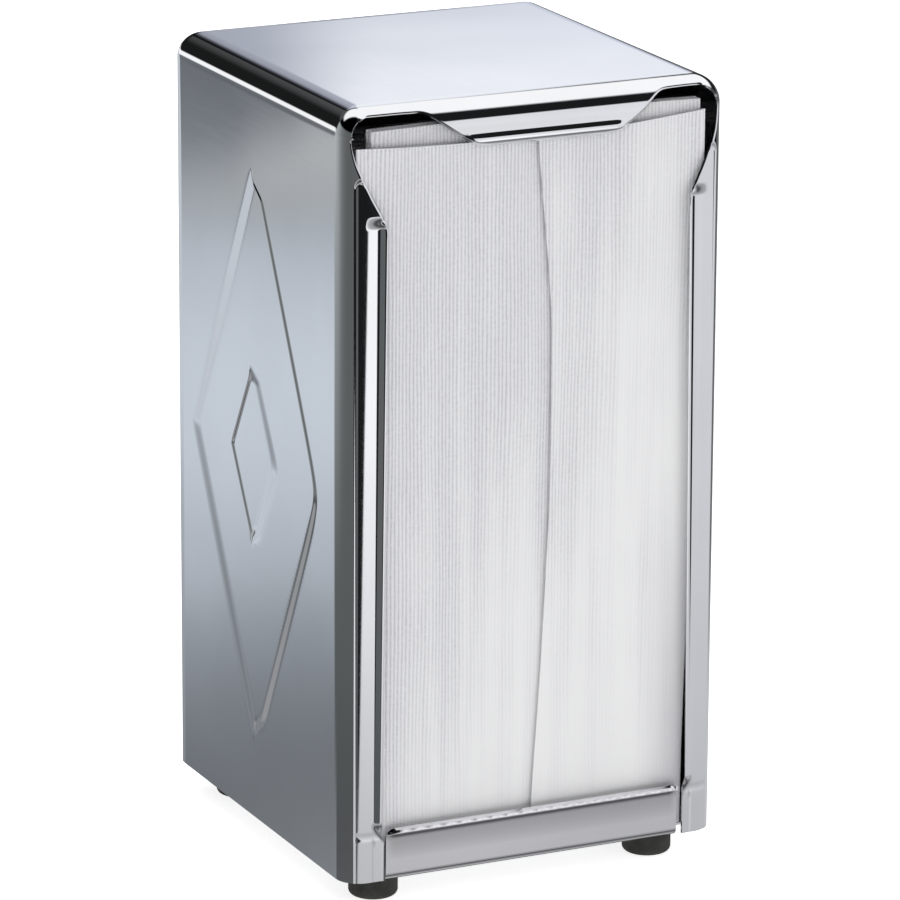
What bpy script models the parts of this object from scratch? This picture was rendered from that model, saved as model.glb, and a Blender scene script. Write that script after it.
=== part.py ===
"""Two-sided tabletop napkin dispenser for tall-fold napkins.

X is the width, Y the depth (front face towards -Y) and Z is up. The feet stand on Z = 0 and the
origin is under the middle of the body. Sizes below are in millimetres and are written in metres.
"""

import math

import bmesh
import bpy
from mathutils import Vector

MM = 0.001

# ---- overall sizes ----
HEIGHT = 190.5
WIDTH = 96.6
DEPTH = 102.2
BODY_BOTTOM = 7.3
FOOT_HEIGHT = 6.85
SHEET = 0.6
GAP = 0.3

# ---- casing ----
TOP_BEND = 6.0
SIDE_FACE_BEND = 6.0
TOP_FACE_BEND = 8.0
STRIP_FLARE = 1.4
TONGUE_FLARE = 0.5
TONGUE_BEAD = 0.5
# distance from the side of the casing to the edge of its front flange, by height
SIDE_EDGE = [
    (BODY_BOTTOM, 9.3), (17.2, 9.3), (18.6, 8.7), (163.0, 10.0), (165.5, 9.2), (168.7, 7.5),
    (171.6, 6.0), (174.8, 4.4), (178.5, 3.0), (181.5, 2.2), (184.5, 1.9),
]
# distance from the top of the casing down to the edge of its lip, by distance from the middle
TOP_EDGE = [
    (0.0, 10.4), (16.0, 10.4), (18.5, 10.1), (20.5, 9.3), (22.5, 8.2), (25.0, 6.4),
    (27.5, 4.4), (30.0, 2.6), (32.0, 2.0), (36.0, 1.9), (42.4, 1.9),
]
FLANGE_STEPS = (1.0, 0.86, 0.76, 0.62, 0.38, 0.19, 0.05, 0.0)
SIDE_HEIGHTS = (
    BODY_BOTTOM, 12.0, 17.2, 18.6, 29.2, 33.0, 50.0, 64.0, 77.3, 80.5, 96.7, 113.0, 117.1, 132.0,
    148.0, 160.5, 163.5, 166.0, 168.7, 171.6, 174.8, 178.5, 181.5,
)
TOP_PLACES = (42.4, 36.0, 32.0, 30.0, 27.5, 25.0, 22.5, 20.5, 18.5, 16.0, 8.0, 0.0)
CORNER_STEPS = 6

# ---- pressed diamonds on both sides: middle (Y, Z), half width, half height, half slope ----
OUTER_DIAMOND = (-0.2, 96.9, 35.9, 67.4, 1.1)
INNER_DIAMOND = (1.2, 97.4, 12.6, 19.9, 0.9)
PLATEAU = 0.38

# ---- base pan ----
PAN_Z = 7.15
RAIL_HALF = 38.2
RAIL_TOP = 19.65
PAN_WALL_TOP = 16.0
FOOT_X = 36.0
FOOT_Y = 39.1
FOOT_RADIUS = 5.85
FOOT_RECESS = 3.6
SHANK_R = 1.6
HOLE_R = 1.9

# ---- divider, followers and springs ----
DIVIDER_HALF = 40.0
DIVIDER_TOP = 178.0
DIVIDER_FOOT = 13.0
DIVIDER_RIVET_X = 24.0
DIVIDER_RIVET_Y = 7.5
FOLLOWER_HALF = 43.2
FOLLOWER_Z = (10.2, 176.0)
FOLLOWER_FACE = 13.6
FOLLOWER_FLANGE = 8.0
TRAVEL = 34.8
SPRING_Z = (58.0, 132.0)
# coil radii: start and end of the flat small coil, then of the flat large coil
SPRING_RADII = (3.3, 5.4, 10.0, 11.1)
SPRING_WIRE_R = 0.4
SPRING_TURNS = 5.0

# ---- napkins, folded to 89 mm by 178 mm ----
NAPKIN_HALF = 44.0
NAPKIN_BOTTOM = 9.6
STACK_TOP = 186.4
STACK_FRONT = 48.5
STACK_BACK = 13.9
LAST_FRONT = 49.8


def clear_scene():
    for item in list(bpy.data.objects):
        bpy.data.objects.remove(item, do_unlink=True)
    for item in list(bpy.data.materials):
        bpy.data.materials.remove(item)


def material(name, colour, roughness, metallic):
    mat = bpy.data.materials.new(name)
    mat.use_nodes = True
    shader = mat.node_tree.nodes["Principled BSDF"]
    shader.inputs["Base Color"].default_value = (*colour, 1.0)
    shader.inputs["Roughness"].default_value = roughness
    shader.inputs["Metallic"].default_value = metallic
    return mat


def finish_mesh(name, bm, mat, smooth=True):
    bmesh.ops.recalc_face_normals(bm, faces=bm.faces[:])
    mesh = bpy.data.meshes.new(name)
    bm.to_mesh(mesh)
    bm.free()
    mesh.materials.append(mat)
    for poly in mesh.polygons:
        poly.use_smooth = smooth
    if smooth:
        mesh.set_sharp_from_angle(angle=math.radians(38))
    obj = bpy.data.objects.new(name, mesh)
    bpy.context.collection.objects.link(obj)
    return obj


def set_origin(obj, at_mm):
    """Moves the object's origin to a point without moving its mesh in the world."""
    at = Vector(at_mm) * MM
    for vert in obj.data.vertices:
        vert.co -= at
    obj.location = at


def table(pairs, value):
    """Reads a piecewise-linear table."""
    if value <= pairs[0][0]:
        return pairs[0][1]
    for (a, fa), (b, fb) in zip(pairs, pairs[1:]):
        if value <= b:
            return fa + (fb - fa) * (value - a) / (b - a)
    return pairs[-1][1]


def sheet_solid(name, points, faces, mat, thickness=SHEET, inward=1.0):
    """Thickens a quad sheet to one closed body. Points are in millimetres on the outer skin."""
    bm = bmesh.new()
    outer = [bm.verts.new(Vector(p) * MM) for p in points]
    for face in faces:
        bm.faces.new([outer[k] for k in face])
    bm.normal_update()
    inner = [bm.verts.new(v.co - v.normal * thickness * MM * inward) for v in outer]
    rim = [(e.verts[0], e.verts[1]) for e in bm.edges if len(e.link_faces) == 1]
    twin = dict(zip(outer, inner))
    for face in faces:
        bm.faces.new([inner[k] for k in reversed(face)])
    for a, b in rim:
        bm.faces.new([a, b, twin[b], twin[a]])
    return finish_mesh(name, bm, mat)


def grid_faces(rows, cols, keep=None):
    faces = []
    for i in range(rows - 1):
        for j in range(cols - 1):
            if keep is None or keep(i, j):
                a = i * cols + j
                faces.append((a, a + 1, a + cols + 1, a + cols))
    return faces


def turned(name, profile, centre, mat, axis="Z", steps=32):
    """Turns an (radius, height) outline about an axis. A closed outline that misses the axis makes
    a ring, and one that starts and ends on the axis makes a plain turned body."""
    bm = bmesh.new()
    closed = profile[0][0] > 0
    rings = []
    for radius, height in profile:
        count = steps if radius > 0 else 1
        ring = []
        for k in range(count):
            turn = 2 * math.pi * k / count
            flat = (radius * math.cos(turn), radius * math.sin(turn))
            if axis == "Z":
                at = Vector((flat[0], flat[1], height))
            else:
                at = Vector((flat[0], height, flat[1]))
            ring.append(bm.verts.new((Vector(centre) + at) * MM))
        rings.append(ring)
    pairs = list(zip(rings, rings[1:]))
    if closed:
        pairs.append((rings[-1], rings[0]))
    for a, b in pairs:
        for k in range(steps):
            n = (k + 1) % steps
            if len(a) == 1:
                bm.faces.new([a[0], b[n], b[k]])
            elif len(b) == 1:
                bm.faces.new([a[k], a[n], b[0]])
            else:
                bm.faces.new([a[k], a[n], b[n], b[k]])
    return finish_mesh(name, bm, mat)


def drill(obj, holes, radius, axis="Z", depth=8.0):
    """Cuts round holes through a sheet."""
    for centre in holes:
        bm = bmesh.new()
        bmesh.ops.create_cone(
            bm, cap_ends=True, segments=24, radius1=radius * MM, radius2=radius * MM,
            depth=depth * MM,
        )
        cutter = finish_mesh("cutter", bm, obj.data.materials[0], smooth=False)
        cutter.location = Vector(centre) * MM
        if axis == "Y":
            cutter.rotation_euler = (math.radians(90), 0, 0)
        combine(obj, cutter, "DIFFERENCE")


def combine(obj, other, operation):
    """Applies an exact boolean and removes the second object."""
    mod = obj.modifiers.new("combine", "BOOLEAN")
    mod.operation = operation
    mod.solver = "EXACT"
    mod.object = other
    bpy.context.view_layer.update()
    graph = bpy.context.evaluated_depsgraph_get()
    mesh = bpy.data.meshes.new_from_object(obj.evaluated_get(graph))
    obj.modifiers.clear()
    old = obj.data
    obj.data = mesh
    mesh.name = obj.name
    bpy.data.meshes.remove(old)
    bpy.data.objects.remove(other, do_unlink=True)


def block(name, low, high, mat):
    bm = bmesh.new()
    bmesh.ops.create_cube(bm, size=1.0)
    low, high = Vector(low), Vector(high)
    for vert in bm.verts:
        vert.co = Vector(
            ((low[k] + high[k]) / 2 + vert.co[k] * (high[k] - low[k])) * MM for k in range(3)
        )
    return finish_mesh(name, bm, mat, smooth=False)


# ---------------------------------------------------------------- casing


def face_depth(inward, bend):
    """How far forward the bent sheet has come at a distance inward from the casing's outline."""
    if inward >= bend:
        return DEPTH / 2
    return DEPTH / 2 - bend + math.sqrt(bend**2 - (bend - inward) ** 2)


def flange(edge, bend, side, along):
    """Points (distance inward, distance forward) of one flange, from its free edge to the bend."""
    found = []
    for step in FLANGE_STEPS:
        inward = edge * step
        forward = face_depth(inward, bend)
        if side and 18.0 < along < 164.5:
            forward += STRIP_FLARE * max(0.0, (inward - 7.6) / 2.4)
        if not side:
            forward += TONGUE_FLARE * max(0.0, (inward - 6.0) / 4.4)
            bead = max(0.0, 1 - abs(inward - 8.9) / 1.4) * (abs(along) < 19.0)
            forward += TONGUE_BEAD * bead
        found.append((inward, forward))
    return found


def relief_places(z):
    """Depth positions of the columns on a side wall, each with its lift: the sheet is pressed out
    between the outer and the inner diamond."""
    found = []
    half_outer = max(OUTER_DIAMOND[2] * (1 - abs(z - OUTER_DIAMOND[1]) / OUTER_DIAMOND[3]), 5.0)
    half_inner = max(INNER_DIAMOND[2] * (1 - abs(z - INNER_DIAMOND[1]) / INNER_DIAMOND[3]), 1.4)
    on_outer = abs(z - OUTER_DIAMOND[1]) <= OUTER_DIAMOND[3] - 4.0
    on_inner = abs(z - INNER_DIAMOND[1]) <= INNER_DIAMOND[3] - 3.0
    for sign in (-1, 1):
        for offset, share in ((1, 0.0), (0, 0.5), (-1, 1.0)):
            place = OUTER_DIAMOND[0] + sign * (half_outer + offset * OUTER_DIAMOND[4])
            found.append((place, PLATEAU * share * on_outer))
        for offset, share in ((1, 1.0), (0, 0.5), (-1, 0.0)):
            place = INNER_DIAMOND[0] + sign * (half_inner + offset * INNER_DIAMOND[4])
            lift = share if on_inner else 1.0
            found.append((place, PLATEAU * lift * on_outer))
    return sorted(found)


def casing_stations():
    """Outline of the arch: (point, inward direction, flange edge, bend, is it a side, along)."""
    half = WIDTH / 2
    found = []
    for z in SIDE_HEIGHTS:
        found.append(((-half, z), (1, 0), table(SIDE_EDGE, z), SIDE_FACE_BEND, True, z))
    centre = (-half + TOP_BEND, HEIGHT - TOP_BEND)
    for k in range(CORNER_STEPS + 1):
        turn = math.pi - math.pi / 2 * k / CORNER_STEPS
        out = (math.cos(turn), math.sin(turn))
        at = (centre[0] + TOP_BEND * out[0], centre[1] + TOP_BEND * out[1])
        bend = SIDE_FACE_BEND + (TOP_FACE_BEND - SIDE_FACE_BEND) * k / CORNER_STEPS
        found.append((at, (-out[0], -out[1]), 1.9, bend, k == 0, 184.5))
    for x in TOP_PLACES[1:]:
        found.append(((-x, HEIGHT), (0, -1), table(TOP_EDGE, x), TOP_FACE_BEND, False, x))
    mirrored = [
        ((-at[0], at[1]), (-inward[0], inward[1]), edge, bend, side, along)
        for at, inward, edge, bend, side, along in reversed(found[:-1])
    ]
    return found + mirrored


def build_casing(mat):
    points = []
    stations = casing_stations()
    cols = 0
    for at, inward, edge, bend, side, along in stations:
        row = []
        for depth, forward in flange(edge, bend, side, along):
            row.append((at[0] + inward[0] * depth, -forward, at[1] + inward[1] * depth))
        places = relief_places(along if side else 184.5)
        for y, raised in places:
            lift = raised if side else 0.0
            row.append((at[0] - inward[0] * lift, y, at[1] - inward[1] * lift))
        for depth, forward in reversed(flange(edge, bend, side, along)):
            row.append((at[0] + inward[0] * depth, forward, at[1] + inward[1] * depth))
        cols = len(row)
        points += row
    faces = grid_faces(len(stations), cols)
    return sheet_solid("casing", points, faces, mat, inward=side_sign(points, faces, (0, 0, 95)))


def side_sign(points, faces, inside):
    """Plus one if the first face's normal points away from a point inside, else minus one."""
    a, b, c = (Vector(points[k]) for k in faces[0][:3])
    normal = (b - a).cross(c - b)
    return 1.0 if normal.dot(a - Vector(inside)) > 0 else -1.0


# ---------------------------------------------------------------- base pan


def build_pan(mat):
    wall_x = WIDTH / 2 - SHEET - GAP
    rail_y = DEPTH / 2
    xs = [(-wall_x, PAN_WALL_TOP), (-wall_x, PAN_Z + 1.2), (-wall_x + 0.4, PAN_Z + 0.4)]
    xs += [(-wall_x + 1.2, PAN_Z), (-RAIL_HALF, PAN_Z), (-20.0, PAN_Z), (0.0, PAN_Z)]
    xs += [(-x, z) for x, z in reversed(xs[:-1])]
    ys = [(-rail_y - 0.9, RAIL_TOP), (-rail_y - 0.5, RAIL_TOP - 0.3)]
    ys += [(-rail_y - 0.15, RAIL_TOP - 1.0), (-rail_y, RAIL_TOP - 2.0)]
    ys += [(-rail_y, PAN_Z + 1.4), (-rail_y + 0.4, PAN_Z + 0.4), (-rail_y + 1.4, PAN_Z)]
    ys += [(-rail_y + 6.1, PAN_Z), (0.0, PAN_Z)]
    ys += [(-y, z) for y, z in reversed(ys[:-1])]
    points = [(x, y, z1 + z2 - PAN_Z) for x, z1 in xs for y, z2 in ys]
    last_x, last_y = len(xs) - 1, len(ys) - 1

    def keep(i, j):
        past_rail = i < 4 or i >= last_x - 4
        by_corner = j < 7 or j >= last_y - 7
        return not (past_rail and by_corner)

    used = {}
    faces = []
    for face in grid_faces(len(xs), len(ys), keep):
        faces.append(tuple(used.setdefault(k, len(used)) for k in face))
    kept = [points[k] for k in used]
    # the pan's outer skin is its underside
    pan = sheet_solid("base_pan", kept, faces, mat, inward=pan_sign(kept, faces))
    feet = [(x, y, PAN_Z) for x in (-FOOT_X, FOOT_X) for y in (-FOOT_Y, FOOT_Y)]
    rivets = [(x, DIVIDER_RIVET_Y, PAN_Z) for x in (-DIVIDER_RIVET_X, DIVIDER_RIVET_X)]
    drill(pan, feet + rivets, HOLE_R)
    return pan


def pan_sign(points, faces):
    """The skin faces down on the floor, so the metal is added upwards."""
    for face in faces:
        a, b, c = (Vector(points[k]) for k in face[:3])
        normal = (b - a).cross(c - b).normalized()
        if abs(normal.z) > 0.99:
            return 1.0 if normal.z < 0 else -1.0
    return 1.0


def build_feet(rubber, steel):
    top = FOOT_HEIGHT
    for name_y, sy in (("front", -1), ("rear", 1)):
        for name_x, sx in (("left", -1), ("right", 1)):
            tag = name_y + "_" + name_x
            at = (sx * FOOT_X, sy * FOOT_Y, 0.0)
            outline = [
                (HOLE_R, top), (FOOT_RADIUS - 0.4, top), (FOOT_RADIUS, top - 0.4),
                (FOOT_RADIUS, 1.4), (FOOT_RADIUS - 0.3, 0.45), (FOOT_RADIUS - 1.0, 0.0),
                (FOOT_RECESS, 0.0), (FOOT_RECESS, 2.8), (HOLE_R, 2.8),
            ]
            turned("foot_" + tag, outline, at, rubber)
            washer = [(HOLE_R, 2.5), (3.2, 2.5), (3.2, 2.0), (HOLE_R, 2.0)]
            turned("foot_washer_" + tag, washer, at, steel, steps=24)
            rivet = [
                (0.0, 0.7), (1.9, 0.8), (2.6, 1.2), (2.7, 1.7), (SHANK_R, 1.7),
                (SHANK_R, PAN_Z + SHEET + GAP), (2.7, PAN_Z + SHEET + GAP),
                (2.6, PAN_Z + SHEET + GAP + 0.6), (1.6, PAN_Z + SHEET + GAP + 1.1),
                (0.0, PAN_Z + SHEET + GAP + 1.2),
            ]
            turned("foot_rivet_" + tag, rivet, at, steel, steps=24)


# ---------------------------------------------------------------- divider


def build_divider(mat, steel):
    foot_z = PAN_Z + SHEET + GAP
    outline = [(DIVIDER_FOOT, foot_z), (1.3, foot_z), (0.2, foot_z + 0.4), (-0.3, foot_z + 1.5)]
    outline += [(-0.3, 95.0), (-0.3, DIVIDER_TOP)]
    xs = (-DIVIDER_HALF, -DIVIDER_HALF / 2, 0.0, DIVIDER_HALF / 2, DIVIDER_HALF)
    points = [(x, y, z) for x in xs for y, z in outline]
    faces = grid_faces(len(xs), len(outline))
    # the skin is the underside of the foot and the front of the plate
    inward = side_sign(points, faces, (0, DIVIDER_FOOT, 60))
    divider = sheet_solid("divider_plate", points, faces, mat, inward=inward)
    drill(divider, [(0.0, 0.0, z) for z in SPRING_Z], HOLE_R, axis="Y")
    at_rivets = [(x, DIVIDER_RIVET_Y, foot_z) for x in (-DIVIDER_RIVET_X, DIVIDER_RIVET_X)]
    drill(divider, at_rivets, HOLE_R, depth=3.0)
    head = foot_z + SHEET + 0.25
    for name, x in (("left", -DIVIDER_RIVET_X), ("right", DIVIDER_RIVET_X)):
        outline = [
            (0.0, PAN_Z - 1.1), (2.2, PAN_Z - 0.9), (2.8, PAN_Z - 0.3), (SHANK_R, PAN_Z - 0.3),
            (SHANK_R, head), (2.8, head), (2.5, head + 0.6), (1.4, head + 0.9),
            (0.0, head + 1.0),
        ]
        turned("divider_rivet_" + name, outline, (x, DIVIDER_RIVET_Y, 0.0), steel, steps=24)


# ---------------------------------------------------------------- followers and springs


def build_follower(name, way, mat):
    """way is -1 for the front follower and +1 for the rear one. The skin is the pressing face."""
    low, high = FOLLOWER_Z
    back = FOLLOWER_FACE - FOLLOWER_FLANGE
    outline = [(back, low), (FOLLOWER_FACE - 1.5, low), (FOLLOWER_FACE - 0.4, low + 0.4)]
    outline += [(FOLLOWER_FACE, low + 1.5), (FOLLOWER_FACE, 95.0), (FOLLOWER_FACE, high - 1.5)]
    outline += [(FOLLOWER_FACE - 0.4, high - 0.4), (FOLLOWER_FACE - 1.5, high), (back, high)]
    xs = (-FOLLOWER_HALF, -FOLLOWER_HALF / 2, 0.0, FOLLOWER_HALF / 2, FOLLOWER_HALF)
    points = [(x, way * y, z) for x in xs for y, z in outline]
    faces = grid_faces(len(xs), len(outline))
    follower = sheet_solid(
        name, points, faces, mat, inward=side_sign(points, faces, (0, 0, 95))
    )
    face = FOLLOWER_FACE - SHEET
    # bent tabs that hold each spring's large coil
    for z in SPRING_Z:
        for sx in (-1, 1):
            stem = sorted((sx * 12.2, sx * 12.8))
            hook = sorted((sx * 10.7, sx * 12.8))
            parts = []
            for span, deep in ((stem, (face - 2.1, face + 0.3)), (hook, (face - 2.1, face - 1.5))):
                ys = sorted((way * deep[0], way * deep[1]))
                parts.append(block("tab", (span[0], ys[0], z - 2), (span[1], ys[1], z + 2), mat))
            combine(parts[0], parts[1], "UNION")
            combine(follower, parts[0], "UNION")
    set_origin(follower, (0.0, way * FOLLOWER_FACE, (low + high) / 2))
    return follower


def build_spring(name, way, z, mat):
    """A cone-shaped wire spring from the divider to the follower, with both end coils flat."""
    start = 0.3 + 0.25 + SPRING_WIRE_R
    end = FOLLOWER_FACE - SHEET - 0.25 - SPRING_WIRE_R
    per_turn = 18
    small = 1.2 * per_turn
    large = SPRING_TURNS * per_turn - per_turn
    sides = 6
    bm = bmesh.new()
    rings = []
    for k in range(int(SPRING_TURNS * per_turn) + 1):
        turn = 2 * math.pi * k / per_turn
        rise = min(max((k - small) / (large - small), 0.0), 1.0)
        spread = ((0.0, SPRING_RADII[0]), (small, SPRING_RADII[1]))
        spread += ((large, SPRING_RADII[2]), (large + per_turn, SPRING_RADII[3]))
        radius = table(spread, k)
        depth = start + (end - start) * rise
        out = Vector((math.cos(turn), 0.0, math.sin(turn)))
        centre = Vector((0.0, way * depth, z)) + out * radius
        ring = []
        for s in range(sides):
            around = 2 * math.pi * s / sides
            offset = out * math.cos(around) + Vector((0, 1, 0)) * math.sin(around)
            ring.append(bm.verts.new((centre + offset * SPRING_WIRE_R) * MM))
        rings.append(ring)
    for a, b in zip(rings, rings[1:]):
        for s in range(sides):
            n = (s + 1) % sides
            bm.faces.new([a[s], a[n], b[n], b[s]])
    bm.faces.new(rings[0])
    bm.faces.new(rings[-1])
    return finish_mesh(name, bm, mat)


def build_spring_fixings(steel):
    for name, z in (("lower", SPRING_Z[0]), ("upper", SPRING_Z[1])):
        rivet = [
            (0.0, -3.5), (1.8, -3.4), (2.9, -3.0), (3.1, -2.3), (SHANK_R, -2.3),
            (SHANK_R, 2.3), (3.1, 2.3), (2.9, 3.0), (1.8, 3.4), (0.0, 3.5),
        ]
        turned("spring_rivet_" + name, rivet, (0, 0, z), steel, axis="Y", steps=24)
        for side, way in (("front", -1), ("rear", 1)):
            ring = [(HOLE_R, way * 1.6), (4.4, way * 1.6), (4.4, way * 2.05), (HOLE_R, way * 2.05)]
            turned(
                "spring_washer_" + side + "_" + name, ring, (0, 0, z), steel, axis="Y", steps=24
            )


# ---------------------------------------------------------------- napkins


def build_stack(name, way, mat):
    """The folded napkins behind the outermost one, as one block with rounded fold edges."""
    xs = [-NAPKIN_HALF, -NAPKIN_HALF + 0.6, -30, 0, 30, NAPKIN_HALF - 0.6, NAPKIN_HALF]
    bm = bmesh.new()
    rings = []
    for z in (NAPKIN_BOTTOM, 60.0, 120.0, STACK_TOP):
        ring = []
        for x in xs:
            pull = 0.8 if abs(x) >= NAPKIN_HALF else 0.0
            ring.append((x, STACK_FRONT - pull))
        for x in reversed(xs):
            pull = 0.8 if abs(x) >= NAPKIN_HALF else 0.0
            ring.append((x, STACK_BACK + pull))
        rings.append([bm.verts.new(Vector((x, way * y, z)) * MM) for x, y in ring])
    n = len(rings[0])
    for a, b in zip(rings, rings[1:]):
        for k in range(n):
            bm.faces.new([a[k], a[(k + 1) % n], b[(k + 1) % n], b[k]])
    bm.faces.new(rings[0])
    bm.faces.new(rings[-1])
    return finish_mesh(name, bm, mat)


def build_outer_napkin(name, way, mat):
    """The outermost napkin: a back panel and two front panels that meet at a slit in the middle."""
    bm = bmesh.new()
    half = NAPKIN_HALF - 0.4
    front = [(-half, 0.5), (-half + 0.5, 0.0), (-24.0, 0.0), (-0.4, 0.0), (-0.4, 0.45)]
    front += [(0.4, 0.45), (0.4, 0.0), (24.0, 0.0), (half - 0.5, 0.0), (half, 0.5)]
    back = [(half - 0.5, 1.0), (0.0, 1.0), (-half + 0.5, 1.0)]
    rings = []
    for k in range(9):
        ring = []
        for x, deep in front + back:
            top = 181.6 + 1.6 * (x / half) ** 2 * (1 if x > 0 else 0.2)
            z = NAPKIN_BOTTOM + (top - NAPKIN_BOTTOM) * k / 8
            ring.append(bm.verts.new(Vector((x, way * (LAST_FRONT - deep), z)) * MM))
        rings.append(ring)
    n = len(rings[0])
    for a, b in zip(rings, rings[1:]):
        for k in range(n):
            bm.faces.new([a[k], a[(k + 1) % n], b[(k + 1) % n], b[k]])
    bm.faces.new(rings[0])
    bm.faces.new(rings[-1])
    return finish_mesh(name, bm, mat)


def build():
    clear_scene()
    chrome = material("chromed_steel", (0.72, 0.74, 0.77), 0.12, 1.0)
    pan_chrome = material("pan_chrome", (0.68, 0.68, 0.70), 0.2, 1.0)
    plate = material("plated_sheet", (0.60, 0.61, 0.63), 0.32, 1.0)
    spring = material("spring_wire", (0.42, 0.42, 0.44), 0.28, 1.0)
    steel = material("rivet_steel", (0.62, 0.62, 0.62), 0.3, 1.0)
    rubber = material("foot_rubber", (0.045, 0.046, 0.04), 0.75, 0.0)
    paper = material("napkin_paper", (0.86, 0.86, 0.87), 0.9, 0.0)
    build_casing(chrome)
    build_pan(pan_chrome)
    build_feet(rubber, steel)
    build_divider(plate, steel)
    build_spring_fixings(steel)
    for side, way in (("front", -1), ("rear", 1)):
        build_follower(side + "_follower", way, plate)
        for place, z in (("lower", SPRING_Z[0]), ("upper", SPRING_Z[1])):
            build_spring(side + "_spring_" + place, way, z, spring)
        build_stack(side + "_napkin_stack", way, paper)
        build_outer_napkin(side + "_napkin", way, paper)


build()
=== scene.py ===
"""Napkin dispenser: the finished look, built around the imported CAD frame.

X is the width, Y the depth (front window towards -Y) and Z is up. Lengths in the tables are in
millimetres and are written in metres.
"""

import math

import bmesh
import bpy
import numpy as np
from mathutils import Matrix, Vector


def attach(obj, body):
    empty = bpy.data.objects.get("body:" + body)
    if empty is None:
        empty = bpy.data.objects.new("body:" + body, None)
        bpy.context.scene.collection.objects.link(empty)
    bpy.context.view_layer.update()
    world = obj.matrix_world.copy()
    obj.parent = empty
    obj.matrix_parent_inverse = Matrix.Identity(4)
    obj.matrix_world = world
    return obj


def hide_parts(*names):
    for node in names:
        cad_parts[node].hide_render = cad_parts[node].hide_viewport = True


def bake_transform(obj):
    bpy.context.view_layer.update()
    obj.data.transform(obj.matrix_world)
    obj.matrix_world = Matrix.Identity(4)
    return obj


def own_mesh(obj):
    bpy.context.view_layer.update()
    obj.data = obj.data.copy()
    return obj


MM = 0.001
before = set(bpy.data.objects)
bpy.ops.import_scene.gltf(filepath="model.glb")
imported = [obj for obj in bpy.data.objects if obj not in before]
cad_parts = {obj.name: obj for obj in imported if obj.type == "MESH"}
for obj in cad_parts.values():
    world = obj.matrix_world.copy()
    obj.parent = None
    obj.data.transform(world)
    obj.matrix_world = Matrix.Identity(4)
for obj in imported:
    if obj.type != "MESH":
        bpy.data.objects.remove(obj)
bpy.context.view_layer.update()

# ---- the CAD sizes that the finer pieces repeat, in millimetres ----
HEIGHT = 190.5
HALF_W = 48.3
HALF_D = 51.1
BODY_Z0 = 7.3
SHEET = 0.6
TOP_BEND = 6.0
SIDE_FACE_BEND = 6.0
TOP_FACE_BEND = 8.0
PAN_Z = 7.15
RAIL_LEFT = -38.2
RAIL_RIGHT = 37.7
RAIL_TOP = 19.65
TONGUE_X = 2.0
FOOT_X = 36.0
FOOT_Y = 39.1
FOLLOWER_FACE = 13.6
NAPKIN_BOTTOM = 9.6
NAPKIN_HALF = 44.0
LAST_FRONT = 49.8
STACK_FRONT = 48.5
STACK_BACK = 13.9
STACK_TOP = 186.4
SPRING_Z = (58.0, 132.0)
# a point inside, which tells a sheet's inner side from its outer one
INSIDE = (0.0, 0.0, 95.0)


# =====================================================================================
# camera
# =====================================================================================


# where the camera stands, in degrees and millimetres about the casing's middle
AZIMUTH = -25.381
ELEVATION = 16.097
DISTANCE = 1402.0
AIM_Z = 94.25
# how it is turned from looking straight at the middle
ROLL = 0.294
YAW = -0.074
PITCH = -0.030
LENS = 235.1


def turned_vector(v, axis, angle):
    return Matrix.Rotation(angle, 3, axis.normalized()) @ v


def make_camera():
    azimuth, elevation, roll = (math.radians(a) for a in (AZIMUTH, ELEVATION, ROLL))
    back = Vector(
        (
            math.sin(azimuth) * math.cos(elevation),
            -math.cos(azimuth) * math.cos(elevation),
            math.sin(elevation),
        )
    )
    right = Vector((0, 0, 1)).cross(back).normalized()
    up = back.cross(right)
    right, up = (
        math.cos(roll) * right + math.sin(roll) * up,
        -math.sin(roll) * right + math.cos(roll) * up,
    )
    ahead = -back
    yaw, pitch = math.radians(YAW), math.radians(PITCH)
    ahead, right = turned_vector(ahead, up, yaw), turned_vector(right, up, yaw)
    ahead, up = turned_vector(ahead, right, pitch), turned_vector(up, right, pitch)
    data = bpy.data.cameras.new("camera")
    data.sensor_width = 36.0
    data.lens = LENS
    data.clip_start = 0.01
    data.clip_end = 60.0
    camera = bpy.data.objects.new("camera", data)
    bpy.context.scene.collection.objects.link(camera)
    rotation = Matrix((right, up, -ahead)).transposed()
    place = (Vector((0, 0, AIM_Z)) + back * DISTANCE) * MM
    camera.matrix_world = Matrix.Translation(place) @ rotation.to_4x4()
    bpy.context.scene.camera = camera


# =====================================================================================
# node helpers
# =====================================================================================


# the highest level that a line may reach
CURVE_TOP = 1.2


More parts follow.
